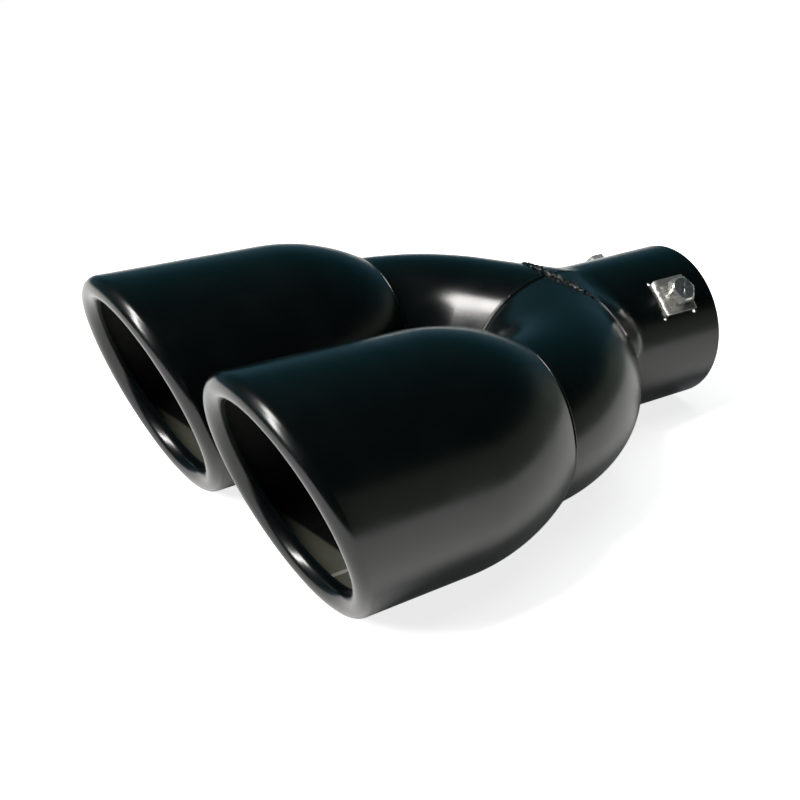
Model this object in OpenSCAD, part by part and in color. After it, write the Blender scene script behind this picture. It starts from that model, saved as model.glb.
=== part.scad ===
// Twin-outlet slash-cut exhaust tip: two rolled-lip tips on two bent branch tubes,
// mitred together and welded to one round inlet collar with two screw clamps.
// Millimetres, +Z up. The origin is the centre of the inlet's mouth, the inlet opens
// towards +Y and the two outlets face -Y. The right-hand pieces lie at +X.

/* [Tips] */
// Outside diameter of a tip at the middle of its rim
tip_d = 90; // [86:1:96]
// Outside diameter of a tip where its shoulder starts
tip_rear_d = 87.6; // [84:0.2:90]
// Distance between the two tips' axes
tip_spacing = 102; // [100:1:112]
// Height of the tips' axes above the inlet's axis
tip_lift = 2.4; // [1.8:0.1:4]
// Sheet thickness of a tip
tip_wall = 1.2; // [0.8:0.1:1.6]
// Length from the shoulder to the middle of the rim
barrel_len = 54; // [46:1:80]
// Lean of the rim's plane, its top edge forward
slash_angle = 19.5; // [10:0.5:24]
// Radius of the shoulder's arc
shoulder_r = 82; // [70:1:100]

/* [Rolled lip] */
// Outside radius of the lip's roll
lip_r = 4.6; // [3.6:0.1:5.4]
// Straight tail of the sheet inside the mouth, past the middle of the roll
lip_tail = 1.2; // [0.4:0.1:8]

/* [Branch tubes] */
// Outside diameter of a branch tube
branch_d = 62.4; // [60:0.1:63]
// Wall of a branch tube
branch_wall = 1.2; // [1:0.1:2]
// Centreline radius of the bend
bend_r = 54.5; // [50:0.5:60]
// Turn of the bend, from the tip's axis towards the mitre
bend_angle = 56; // [50:1:62]
// Depth that a branch tube reaches into its tip
neck_reach = 6.4; // [3:0.1:7]
// Gap round the branch tube at the tip's neck
neck_gap = 0.15; // [0.1:0.05:0.4]

/* [Inlet collar] */
// Outside diameter of the collar
collar_d = 63.5; // [63:0.1:65]
// Wall of the collar
collar_wall = 1.5; // [1.2:0.1:2]
// Depth from the collar's mouth to the point where the branch centrelines meet
crown_depth = 63.5; // [62:0.5:75]

/* [Weld beads] */
// Height of the bead between the collar and the branches
collar_bead = 1.4; // [0.8:0.1:2]
// Height of the bead along the mitre between the branches
mitre_bead = 0.7; // [0.5:0.1:1.2]
// Width of the bead along the mitre
mitre_bead_w = 2.4; // [1.6:0.1:4]
// Section radius of the bead round a branch tube at the neck
neck_bead_r = 1.2; // [0.8:0.1:1.6]

/* [Clamp clips] */
// Angle of the first clip round the inlet's axis, from +X towards +Z
clip_angle = 44; // [30:1:60]
// Turn from the first clip to the second
clip_step = 110; // [106:1:120]
// Distance from the collar's mouth to the middle of the first clip
clip_from_mouth = 19.4; // [18:0.2:26]
// Distance from the collar's mouth to the middle of the second clip
side_from_mouth = 12; // [11.5:0.5:24]
// Length of a clip along the inlet's axis, over its legs
clip_len = 16.6; // [16:0.1:19]
// Width of a clip round the collar
clip_w = 15.2; // [13:0.1:17]
// Sheet thickness of a clip
clip_sheet = 1.6; // [1.2:0.1:2]
// Outside radius of a clip's folded edges
clip_fold_r = 2.2; // [2:0.1:3]
// Radius of a clip's four corners
clip_corner_r = 1; // [0.5:0.1:2]
// Standing gap between a clip's plate and the collar's crest
clip_lift = 0.3; // [0.1:0.1:0.8]
// Gap between the slot and the face of a leg that looks away from the screw
slot_gap = 1.0; // [0.4:0.1:1.5]
// Length of a slot that shows past each side of its leg
slot_over = 1.0; // [0.6:0.1:2]

/* [Clamp screws] */
// Thread diameter of a screw
screw_d = 6; // [5:1:6]
// Length of a screw under its head
screw_len = 5; // [4.5:0.25:5]
// Height of a hex head
head_h = 4; // [3.5:0.1:4.5]
// Width across flats of a hex head
hex_af = 10; // [8:0.5:10]
// Turn of a hex head about its axis
hex_turn = 30; // [0:5:55]
// Gap under a screw's head as the part is supplied
head_gap = 1.7; // [1.7:0.05:2.4]
// Radial play of the screw in the clip's tapped hole
thread_play = 0.05; // [0.03:0.01:0.1]
// Radial clearance of the screw in the collar
collar_clearance = 0.5; // [0.3:0.1:0.8]

/* [Hidden] */
$fn = 96;

black_paint = [0.07, 0.085, 0.09];
bead_paint = [0.10, 0.11, 0.115];
stainless = [0.80, 0.79, 0.76];
zinc = [0.62, 0.63, 0.63];

// Play that a cutting body runs past what it cuts
past = 1;
// Reach of a cutting box, beyond every piece
far = 400;

collar_r = collar_d / 2;
bore_r = collar_r - collar_wall;
branch_r = branch_d / 2;
tip_x = tip_spacing / 2;

// The branch's centreline, from the mitre back to the start of its bend
bend_end_x = tip_x - bend_r * (1 - cos(bend_angle));
run_len = bend_end_x / sin(bend_angle);
crown_y = -crown_depth;
bend_start_y = crown_y - run_len * cos(bend_angle) - bend_r * sin(bend_angle);
// Straight run past the mitre that clears the tube's whole width
run_spare = 3;
run_past = branch_r / tan(bend_angle) + run_spare;
// Reach of the collar past the crown, where it closes the joint under the branches
tongue = 3;

// The bent tube's section where the neck cuts it: half width, and how far it lies off the tip's axis
neck_y = bend_start_y + neck_reach;
neck_outer = sqrt(pow(bend_r + branch_r, 2) - pow(neck_reach, 2)) - bend_r;
neck_inner = bend_r - sqrt(pow(bend_r - branch_r, 2) - pow(neck_reach, 2));
neck_shift = (neck_inner - neck_outer) / 2;
neck_tube_r = (neck_inner + neck_outer) / 2;
neck_r = neck_tube_r + neck_gap + tip_wall;

// The tip's outline from the neck to the rim
taper = atan((tip_d - tip_rear_d) / 2 / barrel_len);
rear_r = tip_rear_d / 2;
shoulder_end = acos(cos(taper) - (rear_r - neck_r) / shoulder_r);
shoulder_y = neck_y - shoulder_r * (sin(shoulder_end) - sin(taper));
rim_y = shoulder_y - barrel_len;

// Facets of a tip: round its axis, along the shoulder and round the lip's roll
tip_facets = 72;
shoulder_steps = 8;
roll_steps = 10;
inner_roll_steps = 6;

// The clip's height over the inlet's axis, built up from the collar
plate_low = collar_r + clip_lift;
plate_top = plate_low + clip_sheet;
head_low = plate_top + head_gap;
screw_tip = head_low - screw_len;
screw_r = screw_d / 2 - thread_play;
hex_corners = hex_af / cos(30);
leg_play = 0.2;
slot_w = clip_sheet + slot_gap + leg_play;
slot_mid = clip_len / 2 + slot_gap - slot_w / 2;
slot_len = clip_w + 2 * slot_over;
leg_gap = 0.05;
// Bevel on the corners of a hexagon, and the cone at a screw's tip
bevel_h = 0.5;
bevel_run = 1;
lead_in = 0.6;
// Facets of the small rounds in OpenSCAD's own mesh
small_facets = 32;

module inlet_collar() {
    color(black_paint)
    difference() {
        along_y(crown_y - tongue, 0) circle(collar_r);
        along_y(crown_y, past) circle(bore_r);
        branches_grown(0);
        for (i = [0, 1])
            at_clip(i) clip_openings();
    }
}

module branch(side) {
    color(black_paint)
    mirror([side < 0 ? 1 : 0, 0, 0])
    difference() {
        intersection() {
            branch_solid(branch_r);
            translate([0, -far, -far / 2]) cube([far, far, far]);
        }
        branch_solid(branch_r - branch_wall, past);
        // the way from the inlet into the branch
        along_y(crown_y, past) circle(bore_r);
    }
}

module tip(side) {
    color(black_paint)
    mirror([side < 0 ? 1 : 0, 0, 0])
    translate([tip_x, 0, tip_lift])
        polyhedron(points = tip_points(), faces = tip_faces(), convexity = 8);
}

module collar_weld() {
    color(bead_paint)
    difference() {
        intersection() {
            branches_grown(collar_bead);
            along_y(crown_y - tongue, clip_y(0) - clip_len) circle(collar_r + collar_bead);
        }
        along_y(crown_y - far / 2, past) circle(collar_r);
        branches_grown(0);
    }
}

module mitre_weld() {
    color(bead_paint)
    difference() {
        intersection() {
            branches_grown(mitre_bead);
            translate([-mitre_bead_w / 2, -far, -far / 2]) cube([mitre_bead_w, far, far]);
        }
        branches_grown(0);
        along_y(crown_y - tongue - past, past) circle(collar_r + collar_bead);
    }
}

module neck_weld(side) {
    color(bead_paint)
    mirror([side < 0 ? 1 : 0, 0, 0])
    difference() {
        translate([tip_x - neck_shift, neck_y + neck_bead_r, tip_lift])
            rotate([90, 0, 0])
                rotate_extrude() translate([neck_tube_r + neck_gap, 0]) circle(neck_bead_r, $fn = small_facets);
        branch_solid(branch_r);
    }
}

module clip(i) {
    color(stainless)
    at_clip(i)
    difference() {
        intersection() {
            rotate([90, 0, 90])
                linear_extrude(clip_w, center = true) clip_outline();
            linear_extrude(plate_top + past) rounded_rectangle(clip_w, clip_len, clip_corner_r);
        }
        along_y(-far, far) circle(bore_r + leg_gap);
        cylinder(r = screw_d / 2, h = plate_top + past);
    }
}

module screw(i) {
    color(zinc)
    at_clip(i) {
        translate([0, 0, head_low])
            rotate([0, 0, hex_turn])
                intersection() {
                    cylinder(d = hex_corners, h = head_h, $fn = 6);
                    bevelled(hex_corners, head_h);
                }
        translate([0, 0, screw_tip])
            cylinder(r1 = screw_r - lead_in, r2 = screw_r, h = lead_in);
        translate([0, 0, screw_tip + lead_in])
            cylinder(r = screw_r, h = screw_len - lead_in);
    }
}

// A flat outline carried along Y from one depth to another
module along_y(from, to) {
    translate([0, to, 0]) rotate([90, 0, 0]) linear_extrude(to - from) children();
}

// The right-hand branch as a solid bar: a bend, then a straight run past the mitre. The bend
// starts "more" degrees early, so that a thinner bar cuts right through a thicker one's end.
module branch_solid(r, more = 0) {
    translate([tip_x - bend_r, bend_start_y, tip_lift])
        rotate([0, 0, bend_angle]) {
            rotate_extrude(angle = bend_angle + more, start = -bend_angle - more)
                translate([bend_r, 0]) circle(r);
            translate([bend_r, 0, 0])
                rotate([-90, 0, 0]) cylinder(r = r, h = run_len + run_past);
        }
}

// Both branches as far as the mitre, their skin grown by "more"
module branches_grown(more) {
    for (side = [0, 1])
        mirror([side, 0, 0])
            intersection() {
                branch_solid(branch_r + more);
                translate([0, -far, -far / 2]) cube([far, far, far]);
            }
}

// The tip's section as [y, r, kind] about its own axis, walked once round: out over the
// shoulder, along the barrel, round the lip and back inside. kind 0 stays, 1 leans with the rim
// and values up to -1 shift the neck onto the bent tube.
function shoulder_point(f, depth) =
    let (a = taper + f * (shoulder_end - taper))
    [shoulder_y + shoulder_r * (sin(a) - sin(taper)) - depth * sin(a),
     rear_r - shoulder_r * (cos(taper) - cos(a)) - depth * cos(a), -f];
function roll_point(a, r) = [-r * sin(a), r * cos(a), 1];
tip_section = concat(
    [for (i = [shoulder_steps : -1 : 0]) shoulder_point(i / shoulder_steps, 0)],
    [for (i = [0 : roll_steps]) roll_point(180 * i / roll_steps, lip_r)],
    [[lip_tail, -lip_r, 1],
     [lip_tail, tip_wall - lip_r, 1]],
    [for (i = [inner_roll_steps : -1 : 0]) roll_point(180 * i / inner_roll_steps, lip_r - tip_wall)],
    [for (i = [0 : shoulder_steps]) shoulder_point(i / shoulder_steps, tip_wall)]);

// A point of the section at one angle round the tip's axis
function rim_point(p, a) =
    let (y = rim_y - tan(slash_angle) * (tip_d / 2 - lip_r) * sin(a),
         r = rear_r + (shoulder_y - y) * tan(taper) - lip_r + p[1])
    [r * cos(a), y + p[0], r * sin(a)];
function tip_point(p, a) = p[2] > 0
    ? rim_point(p, a)
    : [p[1] * cos(a) + p[2] * neck_shift, p[0], p[1] * sin(a)];
function tip_points() = [for (j = [0 : tip_facets - 1], p = tip_section) tip_point(p, 360 * j / tip_facets)];
function tip_faces() =
    let (n = len(tip_section))
    [for (j = [0 : tip_facets - 1], i = [0 : n - 1])
        let (k = (j + 1) % tip_facets, m = (i + 1) % n)
        [j * n + i, j * n + m, k * n + m, k * n + i]];

function clip_y(i) = i == 0 ? -clip_from_mouth : -side_from_mouth;

// The place of a clip: its screw's axis becomes +Z, and Y stays along the inlet
module at_clip(i) {
    translate([0, clip_y(i), 0])
        rotate([0, 90 - clip_angle - i * clip_step, 0])
            children();
}

// The two slots and the screw's hole that a clip needs in the collar
module clip_openings() {
    for (side = [-1, 1])
        translate([0, side * slot_mid, bore_r / 2])
            linear_extrude(plate_top - bore_r / 2) {
                square([slot_len - slot_w, slot_w], center = true);
                for (end = [-1, 1])
                    translate([end * (slot_len - slot_w) / 2, 0]) circle(d = slot_w, $fn = small_facets);
            }
    cylinder(r = screw_d / 2 + collar_clearance, h = plate_top);
}

// A clip seen along the collar's skin: a plate with two folded legs
module clip_outline() {
    difference() {
        folded_bar(clip_len, clip_fold_r);
        translate([0, -clip_sheet]) folded_bar(clip_len - 2 * clip_sheet, clip_fold_r - clip_sheet);
    }
}

// A bar with rounded upper corners that reaches from the inlet's axis up to the plate's top
module folded_bar(w, r) {
    translate([-w / 2, 0]) square([w, plate_top - r]);
    translate([r - w / 2, 0]) square([w - 2 * r, plate_top]);
    for (end = [-1, 1])
        translate([end * (w / 2 - r), plate_top - r]) circle(r, $fn = small_facets);
}

module rounded_rectangle(w, l, r) {
    square([w - 2 * r, l], center = true);
    square([w, l - 2 * r], center = true);
    for (x = [-1, 1], y = [-1, 1])
        translate([x * (w / 2 - r), y * (l / 2 - r)]) circle(r, $fn = small_facets);
}

// A round bar whose top edge is bevelled, to take the corners off a hexagon
module bevelled(d, h) {
    cylinder(d = d, h = h - bevel_h);
    translate([0, 0, h - bevel_h])
        cylinder(d1 = d, d2 = d - 2 * bevel_run, h = bevel_h);
}

inlet_collar();
branch(1);  // branch_right
branch(-1);  // branch_left
tip(1);  // tip_right
tip(-1);  // tip_left
collar_weld();
mitre_weld();
neck_weld(1);  // neck_weld_right
neck_weld(-1);  // neck_weld_left
clip(0);  // clip_upper
clip(1);  // clip_side
screw(0);  // screw_upper
screw(1);  // screw_side
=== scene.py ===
import math

import bmesh
import bpy
from mathutils import Matrix, Vector, noise


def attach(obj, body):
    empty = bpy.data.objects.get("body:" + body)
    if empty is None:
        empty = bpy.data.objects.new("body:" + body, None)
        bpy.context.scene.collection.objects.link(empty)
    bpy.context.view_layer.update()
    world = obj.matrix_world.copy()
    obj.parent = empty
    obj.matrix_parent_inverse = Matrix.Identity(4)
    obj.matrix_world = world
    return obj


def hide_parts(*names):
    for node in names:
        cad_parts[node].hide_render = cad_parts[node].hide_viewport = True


# The frame and its dimensions.
# Lengths are in metres and repeat part.scad's driving dimensions, in its frame: the inlet opens
# towards +Y, the outlets face -Y and the right-hand tip lies at +X.
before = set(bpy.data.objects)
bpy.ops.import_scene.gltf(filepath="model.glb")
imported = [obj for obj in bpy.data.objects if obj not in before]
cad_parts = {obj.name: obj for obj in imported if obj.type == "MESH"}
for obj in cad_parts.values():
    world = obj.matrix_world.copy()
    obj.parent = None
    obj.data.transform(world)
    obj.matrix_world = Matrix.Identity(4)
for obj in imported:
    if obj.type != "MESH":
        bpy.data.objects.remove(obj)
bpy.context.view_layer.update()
MM = 0.001
FULL_TURN = 2 * math.pi
SIDES = {"right": 1, "left": -1}

TIP_D, TIP_REAR_D = 90 * MM, 87.6 * MM
TIP_X, TIP_LIFT = 51 * MM, 2.4 * MM
TIP_WALL = 1.2 * MM
BARREL_LEN = 54 * MM
SLASH = math.radians(19.5)
SHOULDER_R = 82 * MM
LIP_R, LIP_TAIL = 4.6 * MM, 1.2 * MM
BRANCH_R = 31.2 * MM
BEND_R = 54.5 * MM
BEND_ANGLE = math.radians(56)
NECK_REACH, NECK_GAP = 6.4 * MM, 0.15 * MM
COLLAR_R = 31.75 * MM
CROWN_Y = -63.5 * MM
TONGUE = 3 * MM
# each clip's angle round the collar and its place along it
CLIPS = {"upper": (math.radians(44), -19.4 * MM), "side": (math.radians(154), -12 * MM)}
HEAD_LOW, HEAD_H, HEX_AF = 35.35 * MM, 4 * MM, 10 * MM
HEX_TURN = math.radians(30)
SCREW_R, SCREW_LEN, THREAD_PITCH = 2.95 * MM, 5 * MM, 1.0 * MM

# the same steps from these to the neck, shoulder and rim as in part.scad
bend_end_x = TIP_X - BEND_R * (1 - math.cos(BEND_ANGLE))
run_len = bend_end_x / math.sin(BEND_ANGLE)
bend_start_y = CROWN_Y - run_len * math.cos(BEND_ANGLE) - BEND_R * math.sin(BEND_ANGLE)
neck_y = bend_start_y + NECK_REACH
neck_outer = math.sqrt((BEND_R + BRANCH_R) ** 2 - NECK_REACH ** 2) - BEND_R
neck_inner = BEND_R - math.sqrt((BEND_R - BRANCH_R) ** 2 - NECK_REACH ** 2)
neck_shift = (neck_inner - neck_outer) / 2
neck_tube_r = (neck_inner + neck_outer) / 2
neck_r = neck_tube_r + NECK_GAP + TIP_WALL
rear_r = TIP_REAR_D / 2
taper = math.atan((TIP_D - TIP_REAR_D) / 2 / BARREL_LEN)
shoulder_end = math.acos(math.cos(taper) - (rear_r - neck_r) / SHOULDER_R)
shoulder_y = neck_y - SHOULDER_R * (math.sin(shoulder_end) - math.sin(taper))
rim_y = shoulder_y - BARREL_LEN


# Shader helpers
def feed(links, source, socket):
    """Give a socket another node's output, a colour of three parts or a number."""
    if isinstance(source, bpy.types.NodeSocket):
        links.new(source, socket)
    elif isinstance(source, (tuple, list)):
        socket.default_value = (*source, 1)
    else:
        socket.default_value = source


def new_material(name, colour, roughness, metallic=0.0, specular=0.5):
    """A Principled material with its constants on the shader's own sockets."""
    material = bpy.data.materials.new(name)
    material.use_nodes = True
    material.diffuse_color = (*colour, 1)
    shader = material.node_tree.nodes["Principled BSDF"]
    shader.inputs["Base Color"].default_value = (*colour, 1)
    shader.inputs["Roughness"].default_value = roughness
    shader.inputs["Metallic"].default_value = metallic
    shader.inputs["Specular IOR Level"].default_value = specular
    return material, material.node_tree.nodes, material.node_tree.links, shader


def object_noise(nodes, links, scale, detail, stretch=(1, 1, 1)):
    """Noise in the object's own space: scale is in waves to the metre."""
    place = nodes.new("ShaderNodeTexCoord")
    spread = nodes.new("ShaderNodeMapping")
    spread.inputs["Scale"].default_value = stretch
    pattern = nodes.new("ShaderNodeTexNoise")
    pattern.inputs["Scale"].default_value = scale
    pattern.inputs["Detail"].default_value = detail
    links.new(place.outputs["Object"], spread.inputs["Vector"])
    links.new(spread.outputs["Vector"], pattern.inputs["Vector"])
    return pattern.outputs["Fac"]


def map_range(nodes, links, value, source, target=(0, 1), smooth=False):
    """A value that goes over the target range as the given one goes over the source range."""
    node = nodes.new("ShaderNodeMapRange")
    node.interpolation_type = "SMOOTHSTEP" if smooth else "LINEAR"
    node.inputs["From Min"].default_value, node.inputs["From Max"].default_value = source
    node.inputs["To Min"].default_value, node.inputs["To Max"].default_value = target
    links.new(value, node.inputs["Value"])
    return node.outputs["Result"]


def tint(nodes, links, factor, low, high):
    """A mix between two colours, each a node's output or three parts."""
    mix = nodes.new("ShaderNodeMix")
    mix.data_type = "RGBA"
    feed(links, low, mix.inputs["A"])
    feed(links, high, mix.inputs["B"])
    links.new(factor, mix.inputs["Factor"])
    return mix.outputs["Result"]


def arithmetic(nodes, links, operation, first, second):
    """Two values, each a node's output or a number, added or multiplied."""
    node = nodes.new("ShaderNodeMath")
    node.operation = operation
    feed(links, first, node.inputs[0])
    feed(links, second, node.inputs[1])
    return node.outputs[0]


def vector_measure(nodes, links, operation, vector, other):
    """A vector's dot product with a fixed one, or its distance from it."""
    node = nodes.new("ShaderNodeVectorMath")
    node.operation = operation
    node.inputs[1].default_value = other
    links.new(vector, node.inputs[0])
    return node.outputs["Value"]


def bump(nodes, links, shader, height, distance, under=None):
    """Relief of a given depth in metres, on top of another relief where one is given."""
    relief = nodes.new("ShaderNodeBump")
    relief.inputs["Distance"].default_value = distance
    links.new(height, relief.inputs["Height"])
    if under is not None:
        links.new(under, relief.inputs["Normal"])
    links.new(relief.outputs["Normal"], shader.inputs["Normal"])
    return relief.outputs["Normal"]


# Materials. Scales are in waves to the metre, and sheens are what the noise adds to a roughness.
NOISE_SPAN = (0.35, 0.65)
MOTTLE_SCALE, PEEL_SCALE, GRIT_SCALE = 60, 1500, 700
MOTTLE_DETAIL, PEEL_DETAIL, GRIT_DETAIL = 4, 2, 2
MOTTLE_LIFT = 1.5
PAINT_SHEEN = (-0.03, 0.04)
DRAWN_SCALE, DRAWN_DETAIL, DRAWN_STRETCH = 900, 4, (1, 0.03, 1)
SOOT_SCALE, SOOT_DETAIL = 45, 5
STEEL_SHEEN = (-0.08, 0.1)


def sheen(nodes, links, factor, roughness, spread):
    """A roughness that varies with a noise value."""
    target = (roughness + spread[0], roughness + spread[1])
    return map_range(nodes, links, factor, NOISE_SPAN, target)


def satin_black(name, colour, roughness, peel, grit=0.0, specular=0.5):
    """Satin stove enamel: a fine orange peel, a faint mottle in colour and sheen, and grit."""
    material, nodes, links, shader = new_material(name, colour, roughness, specular=specular)
    mottle = object_noise(nodes, links, MOTTLE_SCALE, MOTTLE_DETAIL)
    fine = object_noise(nodes, links, PEEL_SCALE, PEEL_DETAIL)
    lighter = [part * MOTTLE_LIFT for part in colour]
    links.new(tint(nodes, links, mottle, colour, lighter), shader.inputs["Base Color"])
    links.new(sheen(nodes, links, mottle, roughness, PAINT_SHEEN), shader.inputs["Roughness"])
    skin = bump(nodes, links, shader, fine, peel)
    if grit:
        grains = object_noise(nodes, links, GRIT_SCALE, GRIT_DETAIL)
        bump(nodes, links, shader, grains, grit, under=skin)
    return material


def bare_steel(name, colour, roughness, drawn, soot, metallic):
    """Bare sheet with drawing marks along Y, and soot that dulls it in patches."""
    material, nodes, links, shader = new_material(name, colour, roughness, metallic)
    marks = object_noise(nodes, links, DRAWN_SCALE, DRAWN_DETAIL, DRAWN_STRETCH)
    patches = map_range(nodes, links, object_noise(nodes, links, SOOT_SCALE, SOOT_DETAIL), NOISE_SPAN)
    dark = [part * (1 - soot) for part in colour]
    links.new(tint(nodes, links, patches, dark, colour), shader.inputs["Base Color"])
    links.new(sheen(nodes, links, marks, roughness, STEEL_SHEEN), shader.inputs["Roughness"])
    bump(nodes, links, shader, marks, drawn)
    return material


BLACK = (0.0011, 0.0019, 0.0020)
# the edge of the painted shadow that the upper lip casts inside a tip's mouth, with the lit patch of bare
# steel below it and painted black beyond it: a plane, in the right-hand tip's place
LIP_SHADOW_POINT, LIP_SHADOW_NORMAL, LIP_SHADOW_FADE = (0.0259, -0.1909, -0.0319), (-0.04, 0.70, 0.72), 0.0012
LIP_SHADOW_BLACK = (0.003, 0.0035, 0.0035)
paint = satin_black("satin_black", BLACK, 0.22, 0.000008)
weld_paint = satin_black("weld_paint", BLACK, 0.14, 0.00001, grit=0.0004)
lip_flange = satin_black("lip_flange", (0.0015, 0.003, 0.0035), 0.30, 0.00001, specular=0.3)
stainless = bare_steel("stainless", (0.76, 0.75, 0.71), 0.22, 0.00001, soot=0.25, metallic=0.85)
zinc = bare_steel("zinc", (0.76, 0.76, 0.73), 0.20, 0.00001, soot=0.3, metallic=0.8)
seam_steel = bare_steel("seam_steel", (0.50, 0.50, 0.46), 0.4, 0.00002, soot=0.2, metallic=0.3)
# the heads' flat tops: a darker copy of the zinc, painted shade
shaded_zinc_top = bare_steel("shaded_zinc_top", (0.16, 0.18, 0.19), 0.30, 0.00006, soot=0.4, metallic=0.7)


def lip_shadowed_steel(side):
    """The tips' bare inside, with the upper lip's shadow painted on: black beyond a plane, bare steel only
    in the lit patch at the bottom.
    """
    material = bare_steel("inner_steel_" + side, (0.145, 0.15, 0.115), 0.5, 0.00002, soot=0.3, metallic=0.2)
    nodes, links = material.node_tree.nodes, material.node_tree.links
    shader = nodes["Principled BSDF"]
    place = nodes.new("ShaderNodeTexCoord").outputs["Object"]
    from_plane = vector_measure(nodes, links, "DOT_PRODUCT", place, LIP_SHADOW_NORMAL)
    shift = 0 if side == "right" else -2 * TIP_X
    edge = Vector(LIP_SHADOW_POINT).dot(Vector(LIP_SHADOW_NORMAL)) + shift * LIP_SHADOW_NORMAL[0]
    # painted shadow: 0 in the lit patch, 1 in the shade beyond the lip's shadow edge
    lip_shadow_share = map_range(nodes, links, from_plane, (edge, edge + LIP_SHADOW_FADE), smooth=True)
    bare = shader.inputs["Base Color"].links[0].from_socket
    links.new(tint(nodes, links, lip_shadow_share, bare, LIP_SHADOW_BLACK), shader.inputs["Base Color"])
    return material


def dress(node, material):
    """Put one material on the whole of a CAD node that stays."""
    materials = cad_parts[node].data.materials
    for i in range(len(materials)):
        materials[i] = material
    if not len(materials):
        materials.append(material)


# Mesh helpers
def mesh_object(name, verts, faces, materials, face_material=None, smooth=True):
    """A new object from points and faces; face_material gives each face's slot."""
    data = bpy.data.meshes.new(name)
    data.from_pydata([tuple(v) for v in verts], [], faces)
    for material in materials:
        data.materials.append(material)
    if face_material:
        data.polygons.foreach_set("material_index", face_material)
    bm = bmesh.new()
    bm.from_mesh(data)
    bmesh.ops.recalc_face_normals(bm, faces=bm.faces)
    bm.to_mesh(data)
    bm.free()
    data.polygons.foreach_set("use_smooth", [smooth] * len(data.polygons))
    new_object = bpy.data.objects.new(name, data)
    bpy.context.scene.collection.objects.link(new_object)
    return new_object


def ring_faces(rings, points, closed=True):
    """Quads between neighbouring rings of points; the section is a closed loop."""
    span = rings if closed else rings - 1
    return [(j * points + i, j * points + (i + 1) % points,
             ((j + 1) % rings) * points + (i + 1) % points, ((j + 1) % rings) * points + i)
            for j in range(span) for i in range(points)]


def end_caps(rings, points):
    """The two faces that close the first and the last ring of an open row."""
    return [tuple(range(points)), tuple((rings - 1) * points + i for i in range(points))]


def sharpen(piece, angle):
    """Shade smooth, but keep edges sharper than the angle, in degrees."""
    piece.data.set_sharp_from_angle(angle=math.radians(angle))


# The tips. A section's point is (y, r, kind): on the roll both are measured from its centre, on
# the barrel they are a share of its length and a depth, and on the shoulder they are a place, with
# a kind of 0 or below that is minus the share of the way to the neck.
ROLL, BARREL = 1, 2
TIP_FACETS = 192
SHOULDER_STEPS, BARREL_STEPS, ROLL_STEPS, INNER_ROLL_STEPS = 24, 10, 26, 14
TIP_SHARP = 40
SEAM_ANGLE = math.radians(-102.4) % FULL_TURN
SEAM_W, SEAM_H = 1.2 * MM, 0.3 * MM
OUTSIDE, FLANGE, INSIDE, SEAM = 0, 1, 2, 3


def shoulder_point(share, depth):
    """A point of the shoulder's arc, at a share of the way from the barrel to the neck."""
    a = taper + share * (shoulder_end - taper)
    return (shoulder_y + SHOULDER_R * (math.sin(a) - math.sin(taper)) - depth * math.sin(a),
            rear_r - SHOULDER_R * (math.cos(taper) - math.cos(a)) - depth * math.cos(a), -share)


def roll_point(a, r):
    """A point of the rolled lip, at an angle round the roll's centre."""
    return -r * math.sin(a), r * math.cos(a), ROLL


def rim_centre(angle):
    """Y of the roll's centre and the tip's radius there, at one angle round the tip."""
    y = rim_y - math.tan(SLASH) * (TIP_D / 2 - LIP_R) * math.sin(angle)
    return y, rear_r + (shoulder_y - y) * math.tan(taper)


def tip_section():
    """Points once round the sheet, each with the material slot of the face that follows it."""
    section = [(shoulder_point(i / SHOULDER_STEPS, 0), OUTSIDE) for i in range(SHOULDER_STEPS, -1, -1)]
    section += [((i / BARREL_STEPS, 0, BARREL), OUTSIDE) for i in range(1, BARREL_STEPS)]
    for i in range(ROLL_STEPS + 1):
        slot = OUTSIDE if i < ROLL_STEPS else FLANGE
        section.append((roll_point(math.pi * i / ROLL_STEPS, LIP_R), slot))
    section.append(((LIP_TAIL, -LIP_R, ROLL), FLANGE))
    section.append(((LIP_TAIL, TIP_WALL - LIP_R, ROLL), FLANGE))
    for i in range(INNER_ROLL_STEPS, -1, -1):
        section.append((roll_point(math.pi * i / INNER_ROLL_STEPS, LIP_R - TIP_WALL), INSIDE))
    section += [((i / BARREL_STEPS, TIP_WALL, BARREL), INSIDE) for i in range(BARREL_STEPS - 1, 0, -1)]
    section += [(shoulder_point(i / SHOULDER_STEPS, TIP_WALL), INSIDE) for i in range(SHOULDER_STEPS + 1)]
    return section


def tip_point(y, r, kind, angle):
    """A section's point turned to an angle, in a tip's own place: the shoulder leans to the neck."""
    rim, rim_r = rim_centre(angle)
    if kind == ROLL:
        y, r = rim + y, rim_r - LIP_R + r
    elif kind == BARREL:
        share, depth = y, r
        y = shoulder_y + share * (rim - shoulder_y)
        r = rear_r + (shoulder_y - y) * math.tan(taper) - depth
    shift = kind * neck_shift if kind <= 0 else 0
    return Vector((r * math.cos(angle) + shift, y, r * math.sin(angle)))


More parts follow.
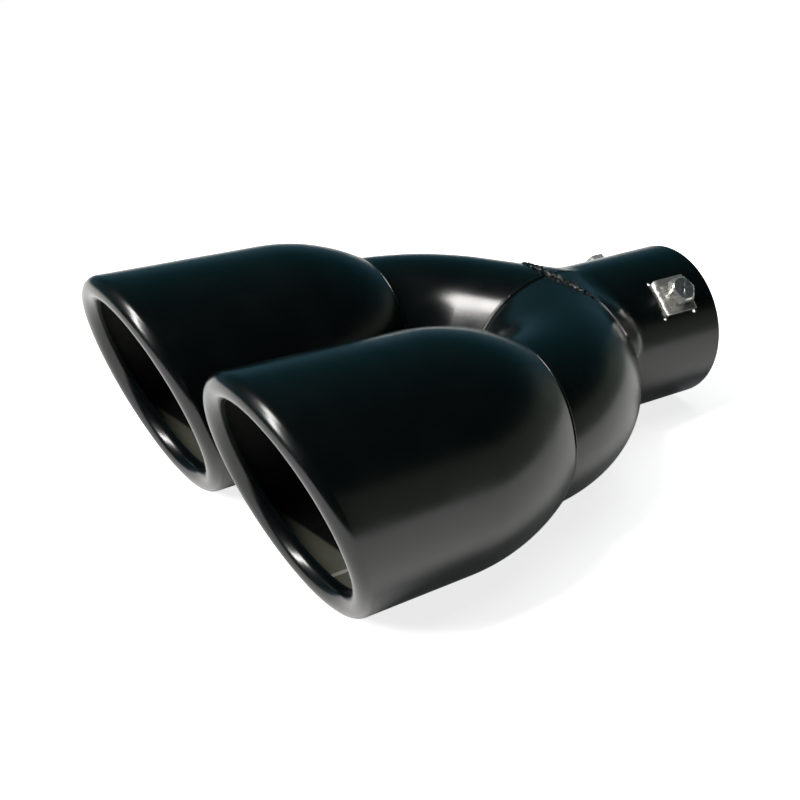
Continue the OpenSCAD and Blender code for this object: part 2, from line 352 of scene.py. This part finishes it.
def tip_shell(side):
    """One tip's sheet: shoulder, barrel and rolled lip, with a low weld seam along the inside."""
    section = tip_section()
    verts = []
    for j in range(TIP_FACETS):
        angle = FULL_TURN * j / TIP_FACETS
        seam = SEAM_H * math.exp(-((angle - SEAM_ANGLE) * rear_r / SEAM_W) ** 2)
        for (y, r, kind), slot in section:
            if slot == INSIDE and kind != ROLL:
                r += seam if kind == BARREL else -seam
            point = tip_point(y, r, kind, angle)
            verts.append(((point.x + TIP_X) * SIDES[side], point.y, point.z + TIP_LIFT))
    slots = [slot for _, slot in section] * TIP_FACETS
    seam_from = int(SEAM_ANGLE / FULL_TURN * TIP_FACETS) * len(section)
    for i, ((_, _, kind), slot) in enumerate(section):
        if slot == INSIDE and kind == BARREL:
            slots[seam_from + i] = SEAM
    o = mesh_object("tip_shell_" + side, verts, ring_faces(TIP_FACETS, len(section)),
                    [paint, lip_flange, lip_shadowed_steel(side), seam_steel], slots)
    sharpen(o, TIP_SHARP)
    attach(o, "tip")
    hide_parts("tip_" + side)


for side in SIDES:
    tip_shell(side)

# The skin of the branches, and points on it
PROBE = 0.05 * MM
HALVINGS = 40
JOINT_HIGH_Y = -20 * MM
# where the seam runs on the branches: degrees up from the collar's side, and Y in millimetres
SEAM_Y = ((27, -61.9), (33, -60.8), (41, -60.5), (49, -61.0), (56, -62.8), (62, -64.8), (70, -65.3),
          (80, -65.8), (90.1, -66.5))
SEAM_LOW, SEAM_BLUR = 5, 6
SEARCH_FROM, SEARCH_TO = COLLAR_R - 4 * MM, 62 * MM


def branch_field(p):
    """How far a point lies outside the skin of the branches, which mirror each other."""
    x, y = abs(p[0]) - (TIP_X - BEND_R), p[1] - bend_start_y
    if math.atan2(y, x) <= BEND_ANGLE:
        across = math.hypot(x, y) - BEND_R
    else:
        across = x * math.cos(BEND_ANGLE) + y * math.sin(BEND_ANGLE) - BEND_R
    return math.hypot(across, p[2] - TIP_LIFT) - BRANCH_R


def branch_normal(p):
    """The direction straight away from the branches at a point."""
    steps = (Vector((PROBE, 0, 0)), Vector((0, PROBE, 0)), Vector((0, 0, PROBE)))
    return Vector([branch_field(p + step) - branch_field(p - step) for step in steps]).normalized()


def skin_crossing(at, inside, outside):
    """Where a line, given by a function of one number, leaves the branches' skin."""
    for _ in range(HALVINGS):
        middle = (inside + outside) / 2
        if branch_field(at(middle)) < 0:
            inside = middle
        else:
            outside = middle
    return at(inside)


def on_collar(p, lift):
    """The point moved to a lift over the collar's skin."""
    r = math.hypot(p.x, p.z)
    return Vector((p.x * (COLLAR_R + lift) / r, p.y, p.z * (COLLAR_R + lift) / r))


def on_branch(p, lift):
    """The point moved to a lift over the branches' skin."""
    return p + branch_normal(p) * (lift - branch_field(p))


def joint_point(angle):
    """Where the collar's skin meets the branches, or the collar's end below them."""
    def at(y):
        return Vector((COLLAR_R * math.cos(angle), y, COLLAR_R * math.sin(angle)))
    collar_end = CROWN_Y - TONGUE
    if branch_field(at(collar_end)) > 0:
        return at(collar_end)
    return skin_crossing(at, collar_end, JOINT_HIGH_Y)


def seam_table_y(high):
    """Y of the seam in millimetres, smoothed over the table's points."""
    weights = [math.exp(-((degrees - high) / SEAM_BLUR) ** 2) for degrees, _ in SEAM_Y]
    return sum(weight * y for weight, (_, y) in zip(weights, SEAM_Y)) / sum(weights)


def seam_point(angle):
    """The edge of the collar's flared end, which lies on the branches behind the joint."""
    joint = joint_point(angle)
    high = math.degrees(angle if angle <= math.pi / 2 else math.pi - angle)
    if high < SEAM_LOW or angle > math.pi:
        return joint
    share = min(1, (high - SEAM_LOW) / (SEAM_Y[0][0] - SEAM_LOW))
    joint_y = joint.y / MM
    y = joint_y + (seam_table_y(high) - joint_y) * share * share * (3 - 2 * share)

    def at(r):
        return Vector((r * math.cos(angle), y * MM, r * math.sin(angle)))
    return skin_crossing(at, SEARCH_FROM, SEARCH_TO)


# The collar's flared end. Its section is a curve from the collar to the seam, with a closed back.
COVE_STEPS, COVE_POINTS = 720, 22
COVE_SHARP = 50
COVE_START, COVE_W, COVE_REACH = 2.0 * MM, 3.5 * MM, 0.1
COVE_MIDDLE, MIDDLE_SHARE = 0.5 * MM, 0.2
START_LIFT, MIDDLE_LIFT = 0.03 * MM, 0.1 * MM
COVE_CROWD, COVE_SETTLE = 1.4, 4
SEAM_STEP, SEAM_APART = 0.22 * MM, 0.5 * MM
LIP_STEPS, FOOT_STEPS = 2, 2.5
FOOT_DEPTH, ROOT_DEPTH, BACK_DEPTH = 0.4 * MM, 0.7 * MM, 0.5 * MM


def bezier(a, b, c, u):
    """A point of the curve from a to c that heads for b."""
    return a * (1 - u) ** 2 + b * 2 * u * (1 - u) + c * u * u


def cove_ring(angle):
    """The flare's section at one angle round the collar."""
    joint, seam = joint_point(angle), seam_point(angle)
    out_collar, out_branch = Vector((math.cos(angle), 0, math.sin(angle))), branch_normal(joint)
    along = out_collar.cross(out_branch)
    up_collar = out_collar.cross(along).normalized()
    up_collar *= math.copysign(1, up_collar.y)
    up_branch = out_branch.cross(along).normalized()
    up_branch *= math.copysign(1, up_branch.dot(out_collar))
    opening = math.sqrt(max(0, 1 - out_collar.dot(out_branch) ** 2))
    reach = (seam - joint).length
    start_along = COVE_START + COVE_W * opening + COVE_REACH * reach
    start = on_collar(joint + up_collar * start_along, START_LIFT)
    middle_along = COVE_MIDDLE + MIDDLE_SHARE * COVE_W * opening
    middle = on_collar(joint + up_collar * middle_along, MIDDLE_LIFT)
    if reach > SEAM_APART:
        lip = on_branch(seam, SEAM_STEP)
        foot = on_branch(seam, -FOOT_DEPTH)
    else:
        lip = on_branch(joint + up_branch * (SEAM_STEP * LIP_STEPS), SEAM_STEP)
        foot = on_branch(joint + up_branch * (SEAM_STEP * FOOT_STEPS), -FOOT_DEPTH)
    ring = []
    for i in range(COVE_POINTS):
        point = bezier(start, middle, lip, 1 - (1 - i / (COVE_POINTS - 1)) ** COVE_CROWD)
        sunk = SEAM_STEP * min(1, i / COVE_SETTLE) - branch_field(point)
        ring.append(point + branch_normal(point) * sunk if sunk > 0 else point)
    ring.append(foot)
    ring.append(joint - (out_collar + out_branch).normalized() * ROOT_DEPTH)
    ring.append(on_collar(start, -BACK_DEPTH))
    return ring


def collar_cove():
    """The collar's end, flared up to its seam on the branches."""
    rings = [cove_ring(FULL_TURN * j / COVE_STEPS) for j in range(COVE_STEPS)]
    verts = [point for ring in rings for point in ring]
    return mesh_object("collar_cove", verts, ring_faces(COVE_STEPS, len(rings[0])), [paint])


cove = collar_cove()
sharpen(cove, COVE_SHARP)
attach(cove, "tip")
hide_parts("collar_weld")

# The weld beads. Scales are in waves to the metre, and a seed picks a bead's own unevenness.
BEAD_POINTS = 16
COARSE_WANDER, FINE_WANDER, FINE_SHARE, FINE_PLACE = 350, 1100, 0.6, 5
SCALE_SHARE, WANDER_SHARE = 0.6, 0.8
GRAIN_SCALE, GRAIN_TURN = 900, 1.5
END_SHARE, END_RATE = 0.15, 3
WELD_FROM, WELD_TO, WELD_STEPS = math.radians(50), math.radians(124), 420
WELD_R, WELD_LIFT, WELD_PITCH = 1.15 * MM, 0.1 * MM, 1.9 * MM
WELD_ROUGH, WELD_GRAIN, WELD_SEED = 0.35 * MM, 0.6 * MM, 3
MITRE_R, MITRE_PITCH, MITRE_ROUGH, MITRE_SEED = 1.0 * MM, 1.7 * MM, 0.15 * MM, 11
MITRE_STEPS, MITRE_BREAK = 420, 5 * MM
NECK_LINE_R, NECK_LINE_OFF, NECK_STEPS = 0.68 * MM, 1.15 * MM, 480
NECK_PITCH, NECK_ROUGH, NECK_SEED = 2.0 * MM, 0.06 * MM, 20


def ripple(s, seed, pitch, amount):
    """The overlapping scales of a weld bead, with a wander, at a length s along it."""
    scale = 1 - 2 * abs((s / pitch) % 1 - 0.5)
    coarse = noise.noise(Vector((s * COARSE_WANDER, seed, 0)))
    fine = noise.noise(Vector((s * FINE_WANDER, seed, FINE_PLACE)))
    return amount * (SCALE_SHARE * scale + WANDER_SHARE * (coarse + FINE_SHARE * fine))


def bead(name, path, outs, radius, seed, pitch, rough, material, closed=True, grain=0.0):
    """A rippled bead along a path; outs gives the outward direction at each point."""
    verts, length = [], 0
    n = len(path)
    for j, (p, out) in enumerate(zip(path, outs)):
        ahead = path[(j + 1) % n] if closed or j < n - 1 else p
        behind = path[j - 1] if closed or j > 0 else p
        along = (ahead - behind).normalized()
        across = along.cross(out).normalized()
        length += (p - path[j - 1]).length if j else 0
        r = radius + ripple(length, seed, pitch, rough)
        if not closed:
            r *= min(1, END_SHARE + END_RATE * min(j, n - 1 - j) / n)
        for i in range(BEAD_POINTS):
            a = FULL_TURN * i / BEAD_POINTS
            spot = Vector((length * GRAIN_SCALE, math.sin(a) * GRAIN_TURN, math.cos(a) * GRAIN_TURN + seed))
            lump = grain * noise.noise(spot)
            verts.append(p + (out * math.sin(a) + across * math.cos(a)) * (r + lump))
    faces = ring_faces(n, BEAD_POINTS, closed)
    if not closed:
        faces += end_caps(n, BEAD_POINTS)
    return mesh_object(name, verts, faces, [material])


def weld_line():
    """The top of the collar's seam, with the outward direction at each point."""
    step = (WELD_TO - WELD_FROM) / (WELD_STEPS - 1)
    seam = [seam_point(WELD_FROM + step * j) for j in range(WELD_STEPS)]
    outs = [branch_normal(p) for p in seam]
    return [p + out * WELD_LIFT for p, out in zip(seam, outs)], outs


def mitre_line():
    """The branches' mitre outside the collar as one unbroken run, with its outward directions."""
    path, outs = [], []
    for j in range(MITRE_STEPS):
        a = FULL_TURN * j / MITRE_STEPS
        y = CROWN_Y - BRANCH_R / math.sin(BEND_ANGLE) * math.cos(a)
        p = Vector((0, y, TIP_LIFT + BRANCH_R * math.sin(a)))
        if p.y < CROWN_Y - TONGUE or (abs(p.z) > COLLAR_R and a < math.pi):
            path.append(p)
            outs.append(Vector((0, -math.cos(a), math.sin(a))))
    turn = max(range(1, len(path)), key=lambda j: (path[j] - path[j - 1]).length)
    if (path[turn] - path[turn - 1]).length > MITRE_BREAK:
        path, outs = path[turn:] + path[:turn], outs[turn:] + outs[:turn]
    return path, outs


def neck_line(sign):
    """The ring round a branch where its tip's neck ends, with its outward directions."""
    centre = Vector((TIP_X - neck_shift, neck_y + NECK_LINE_OFF, TIP_LIFT))
    path, outs = [], []
    for j in range(NECK_STEPS):
        a = FULL_TURN * j / NECK_STEPS
        out = Vector((math.cos(a), 0, math.sin(a)))
        p = out * (neck_tube_r + NECK_GAP) + centre
        path.append(Vector((p.x * sign, p.y, p.z)))
        outs.append(Vector((out.x * sign, 0, out.z)))
    return path, outs


weld = bead("collar_bead", *weld_line(), WELD_R, WELD_SEED, WELD_PITCH, WELD_ROUGH, weld_paint,
            closed=False, grain=WELD_GRAIN)
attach(weld, "tip")

mitre = bead("mitre_bead", *mitre_line(), MITRE_R, MITRE_SEED, MITRE_PITCH, MITRE_ROUGH, paint, closed=False)
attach(mitre, "tip")
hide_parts("mitre_weld")

for side, sign in SIDES.items():
    o = bead("neck_bead_" + side, *neck_line(sign), NECK_LINE_R, NECK_SEED + sign, NECK_PITCH, NECK_ROUGH,
             paint)
    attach(o, "tip")
    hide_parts("neck_weld_" + side)

# The clamp screws
SCREW_FACETS, THREAD_STEPS = 48, 80
SCREW_SHARP = 28
THREAD_DEPTH, LEAD_IN, LEAD_SHARE = 0.55 * MM, 0.8 * MM, 0.8
PLAIN_LEN, PLAIN_DEPTH = 0.5 * MM, 0.3
# the head's rings from below: height in millimetres, and the share of the half width that a round
# ring has, or None where the ring is hexagonal
HEAD_RINGS = ((0.06, 0.93), (0.25, 0.93), (0.3, None), (2.6, None), (3.0, None), (3.4, None),
              (3.75, 0.95), (3.92, 0.9), (4.0, 0.8), (4.0, 0.55), (4.0, 0.3), (4.0, 0.0))
HEAD_FACE_RINGS = 5
CORNER_SHARE = 0.995
BEVEL_OVER, BEVEL_SHARE, BEVEL_ANGLE = 2.5, 1.02, math.radians(62)
SMALLEST_R = 0.05 * MM
SHANK_SLOT, FACE_SLOT = 0, 1


def clip_frame(place):
    """From a screw's own axes to the row's: its Z is the radial direction and Y stays."""
    angle, along = CLIPS[place]
    out = Vector((math.cos(angle), 0, math.sin(angle)))
    y = Vector((0, 1, 0))
    turned = Matrix((y.cross(out), y, out)).transposed().to_4x4()
    turned.translation = Vector((0, along, 0))
    return turned


def thread_rings():
    """The shank from its end up: a lead-in, a rolled thread and a plainer stretch under the head."""
    rings = []
    shank_low = HEAD_LOW - SCREW_LEN
    for j in range(THREAD_STEPS + 1):
        z = shank_low + SCREW_LEN * j / THREAD_STEPS
        lead = min(1, (z - shank_low) / LEAD_IN)
        share = 1 if z < HEAD_LOW - PLAIN_LEN else PLAIN_DEPTH
        ring = []
        for i in range(SCREW_FACETS):
            a = FULL_TURN * i / SCREW_FACETS
            phase = (z / THREAD_PITCH - a / FULL_TURN) % 1
            depth = THREAD_DEPTH * (1 - abs(2 * phase - 1)) * share
            r = (SCREW_R - depth) * (LEAD_SHARE + (1 - LEAD_SHARE) * lead)
            ring.append(Vector((r * math.cos(a), r * math.sin(a), z)))
        rings.append(ring)
    return rings


def head_rings():
    """The hexagonal head, with its upper corners bevelled and a flat top."""
    rings = []
    half = HEX_AF / 2
    blunt = half / math.cos(math.radians(30)) * CORNER_SHARE
    for height, share in HEAD_RINGS:
        ring = []
        for i in range(SCREW_FACETS):
            a = FULL_TURN * i / SCREW_FACETS
            hex_r = half / math.cos((a - HEX_TURN) % math.radians(60) - math.radians(30))
            bevel = max(0, hex_r - half * BEVEL_SHARE) / math.tan(BEVEL_ANGLE) if height > BEVEL_OVER else 0
            r = max(min(hex_r, blunt) if share is None else half * share, SMALLEST_R)
            z = HEAD_LOW + min(height * MM, HEAD_H - bevel)
            ring.append(Vector((r * math.cos(a), r * math.sin(a), z)))
        rings.append(ring)
    return rings


def screw(place):
    """A hex-headed screw in its clip, with the head's top in a darker copy of the zinc: painted shade."""
    rings = thread_rings() + head_rings()
    placed = clip_frame(place)
    verts = [placed @ point for ring in rings for point in ring]
    sides = ring_faces(len(rings), SCREW_FACETS, closed=False)
    face_from = (len(rings) - HEAD_FACE_RINGS) * SCREW_FACETS
    slots = [FACE_SLOT if k >= face_from else SHANK_SLOT for k in range(len(sides))]
    slots += [SHANK_SLOT, FACE_SLOT]
    faces = sides + end_caps(len(rings), SCREW_FACETS)
    o = mesh_object("hex_screw_" + place, verts, faces, [zinc, shaded_zinc_top], slots)
    sharpen(o, SCREW_SHARP)
    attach(o, "screw_" + place)
    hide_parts("screw_" + place)


for place in CLIPS:
    screw(place)

# CAD nodes that stay
for node in ("inlet_collar", "branch_right", "branch_left"):
    dress(node, paint)
for place in CLIPS:
    dress("clip_" + place, stainless)

# The camera, as it was fitted to the photo
CAM_AT = Vector((403.957, -409.08, 229.337)) * MM
YAW, PITCH, ROLL = 0.977, 0.445, 0.008
FOCAL_PX, FRAME_PX = 1419.76, 800
forward = Vector((-math.sin(YAW) * math.cos(PITCH), math.cos(YAW) * math.cos(PITCH), -math.sin(PITCH)))
level = Vector((math.cos(YAW), math.sin(YAW), 0))
upright = level.cross(forward)
right = level * math.cos(ROLL) + upright * math.sin(ROLL)
up = upright * math.cos(ROLL) - level * math.sin(ROLL)
cam = bpy.data.objects.new("camera", bpy.data.cameras.new("camera"))
bpy.context.scene.collection.objects.link(cam)
cam.matrix_world = Matrix((right, up, -forward)).transposed().to_4x4()
cam.location = CAM_AT
cam.data.lens = cam.data.sensor_width * FOCAL_PX / FRAME_PX
bpy.context.scene.camera = cam
bpy.context.scene.view_settings.view_transform = "Standard"

# The floor. At rest the part sits on the tips' shoulders and the edge of the collar's mouth, so
# the floor slopes. It is white to the camera, but for the object's shadow. Mirror rays see a
# weaker glow, which grows with the distance from the object.
FLOOR_X, FLOOR_Y = (-1.0, 0.27), (-1.1, 1.0)
FLOOR_GAP = 0.1 * MM
FLOOR_COLOUR, FLOOR_ROUGHNESS, FLOOR_SPECULAR = (0.90, 0.90, 0.90), 0.9, 0.05
CAMERA_GLOW, MIRROR_GLOW = 0.80, (0.05, 0.12)
GLOW_MIDDLE, GLOW_SPAN = (0.02, -0.09, -0.03), (0.13, 0.24)
rest_slope = (rear_r - TIP_LIFT - COLLAR_R) / -shoulder_y


def floor_material():
    """A matt white whose glow depends on the kind of ray that meets it."""
    material, nodes, links, matt = new_material("floor", FLOOR_COLOUR, FLOOR_ROUGHNESS,
                                                specular=FLOOR_SPECULAR)
    ray = nodes.new("ShaderNodeLightPath")
    place = nodes.new("ShaderNodeTexCoord").outputs["Object"]
    away = vector_measure(nodes, links, "DISTANCE", place, GLOW_MIDDLE)
    mirror_glow = map_range(nodes, links, away, GLOW_SPAN, MIRROR_GLOW)
    to_camera = arithmetic(nodes, links, "MULTIPLY", ray.outputs["Is Camera Ray"], CAMERA_GLOW)
    to_mirrors = arithmetic(nodes, links, "MULTIPLY", ray.outputs["Is Glossy Ray"], mirror_glow)
    glow, both = nodes.new("ShaderNodeEmission"), nodes.new("ShaderNodeAddShader")
    links.new(arithmetic(nodes, links, "ADD", to_camera, to_mirrors), glow.inputs["Strength"])
    links.new(matt.outputs[0], both.inputs[0])
    links.new(glow.outputs[0], both.inputs[1])
    links.new(both.outputs[0], nodes["Material Output"].inputs["Surface"])
    return material


corners = [(x, y, -COLLAR_R - FLOOR_GAP + rest_slope * y) for x in FLOOR_X for y in FLOOR_Y]
floor = mesh_object("floor", corners, [(0, 2, 3, 1)], [], smooth=False)
floor.data.materials.append(floor_material())

# The world: a dim studio, teal to the left, with a low grey wall behind. The camera sees it white.
# Spans are of a direction's dot product with a fixed one, or of its height.
STUDIO_DIM = (0.004, 0.008, 0.008)
TEAL_SIDE, TEAL_SPAN, TEAL_LOW_SPAN = (-0.86, 0.42, -0.28), (-0.05, 0.65), (0.45, 0.15)
TEAL_HIGH, TEAL_LOW = (0.010, 0.074, 0.090), (0.060, 0.152, 0.200)
WALL_SIDE, WALL_SPAN, WALL_TOP_SPAN = (0.42, 0.906, 0), (0.66, 0.82), (0.36, 0.24)
WALL_COLOUR, WHITE = (0.26, 0.31, 0.25), (1, 1, 1)


def studio_colour(nodes, links):
    """What mirror and bounced rays see round the object."""
    ray_to = nodes.new("ShaderNodeTexCoord").outputs["Generated"]
    parts = nodes.new("ShaderNodeSeparateXYZ")
    links.new(ray_to, parts.inputs[0])
    height = parts.outputs["Z"]
    to_teal = vector_measure(nodes, links, "DOT_PRODUCT", ray_to, TEAL_SIDE)
    teal = tint(nodes, links, map_range(nodes, links, height, TEAL_LOW_SPAN), TEAL_HIGH, TEAL_LOW)
    sky = tint(nodes, links, map_range(nodes, links, to_teal, TEAL_SPAN), STUDIO_DIM, teal)
    to_wall = vector_measure(nodes, links, "DOT_PRODUCT", ray_to, WALL_SIDE)
    across = map_range(nodes, links, to_wall, WALL_SPAN)
    below = map_range(nodes, links, height, WALL_TOP_SPAN)
    return tint(nodes, links, arithmetic(nodes, links, "MULTIPLY", across, below), sky, WALL_COLOUR)


world = bpy.data.worlds.new("studio")
bpy.context.scene.world = world
world.use_nodes = True
sky_nodes, sky_links = world.node_tree.nodes, world.node_tree.links
sky_nodes.clear()
dim, white = sky_nodes.new("ShaderNodeBackground"), sky_nodes.new("ShaderNodeBackground")
sky_links.new(studio_colour(sky_nodes, sky_links), dim.inputs["Color"])
white.inputs["Color"].default_value = (*WHITE, 1)
shown = sky_nodes.new("ShaderNodeMixShader")
sky_links.new(sky_nodes.new("ShaderNodeLightPath").outputs["Is Camera Ray"], shown.inputs["Fac"])
sky_links.new(dim.outputs[0], shown.inputs[1])
sky_links.new(white.outputs[0], shown.inputs[2])
sky_links.new(shown.outputs[0], sky_nodes.new("ShaderNodeOutputWorld").inputs["Surface"])

# The lamps
OBJECT_MID = Vector((0, -0.12, 0))
POWER_PER_AREA = 4


def softbox(name, azimuth, elevation, distance, half_angles, radiance, colour=WHITE):
    """A rectangular lamp facing the object.

    Azimuth runs from +Y to +X, and the half angles are the lamp's own, across and up.
    """
    a, e = math.radians(azimuth), math.radians(elevation)
    away = Vector((math.sin(a) * math.cos(e), math.cos(a) * math.cos(e), math.sin(e)))
    lamp = bpy.data.lights.new(name, "AREA")
    lamp.shape = "RECTANGLE"
    lamp.size, lamp.size_y = (2 * distance * math.tan(math.radians(half)) for half in half_angles)
    lamp.energy = radiance * POWER_PER_AREA * lamp.size * lamp.size_y
    lamp.color = colour
    o = bpy.data.objects.new(name, lamp)
    bpy.context.scene.collection.objects.link(o)
    o.location = OBJECT_MID + away * distance
    o.rotation_euler = (-away).to_track_quat("-Z", "Y").to_euler()
    return o


softbox("key", azimuth=190, elevation=61, distance=2.2, half_angles=(8, 10.5), radiance=21,
        colour=(1, 0.985, 0.95))
softbox("front", azimuth=183, elevation=36, distance=2.2, half_angles=(4.5, 14), radiance=32,
        colour=(1, 0.99, 0.97))
fill = softbox("overhead", azimuth=0, elevation=86, distance=2.4, half_angles=(24, 24), radiance=0.8)
fill.visible_glossy = False
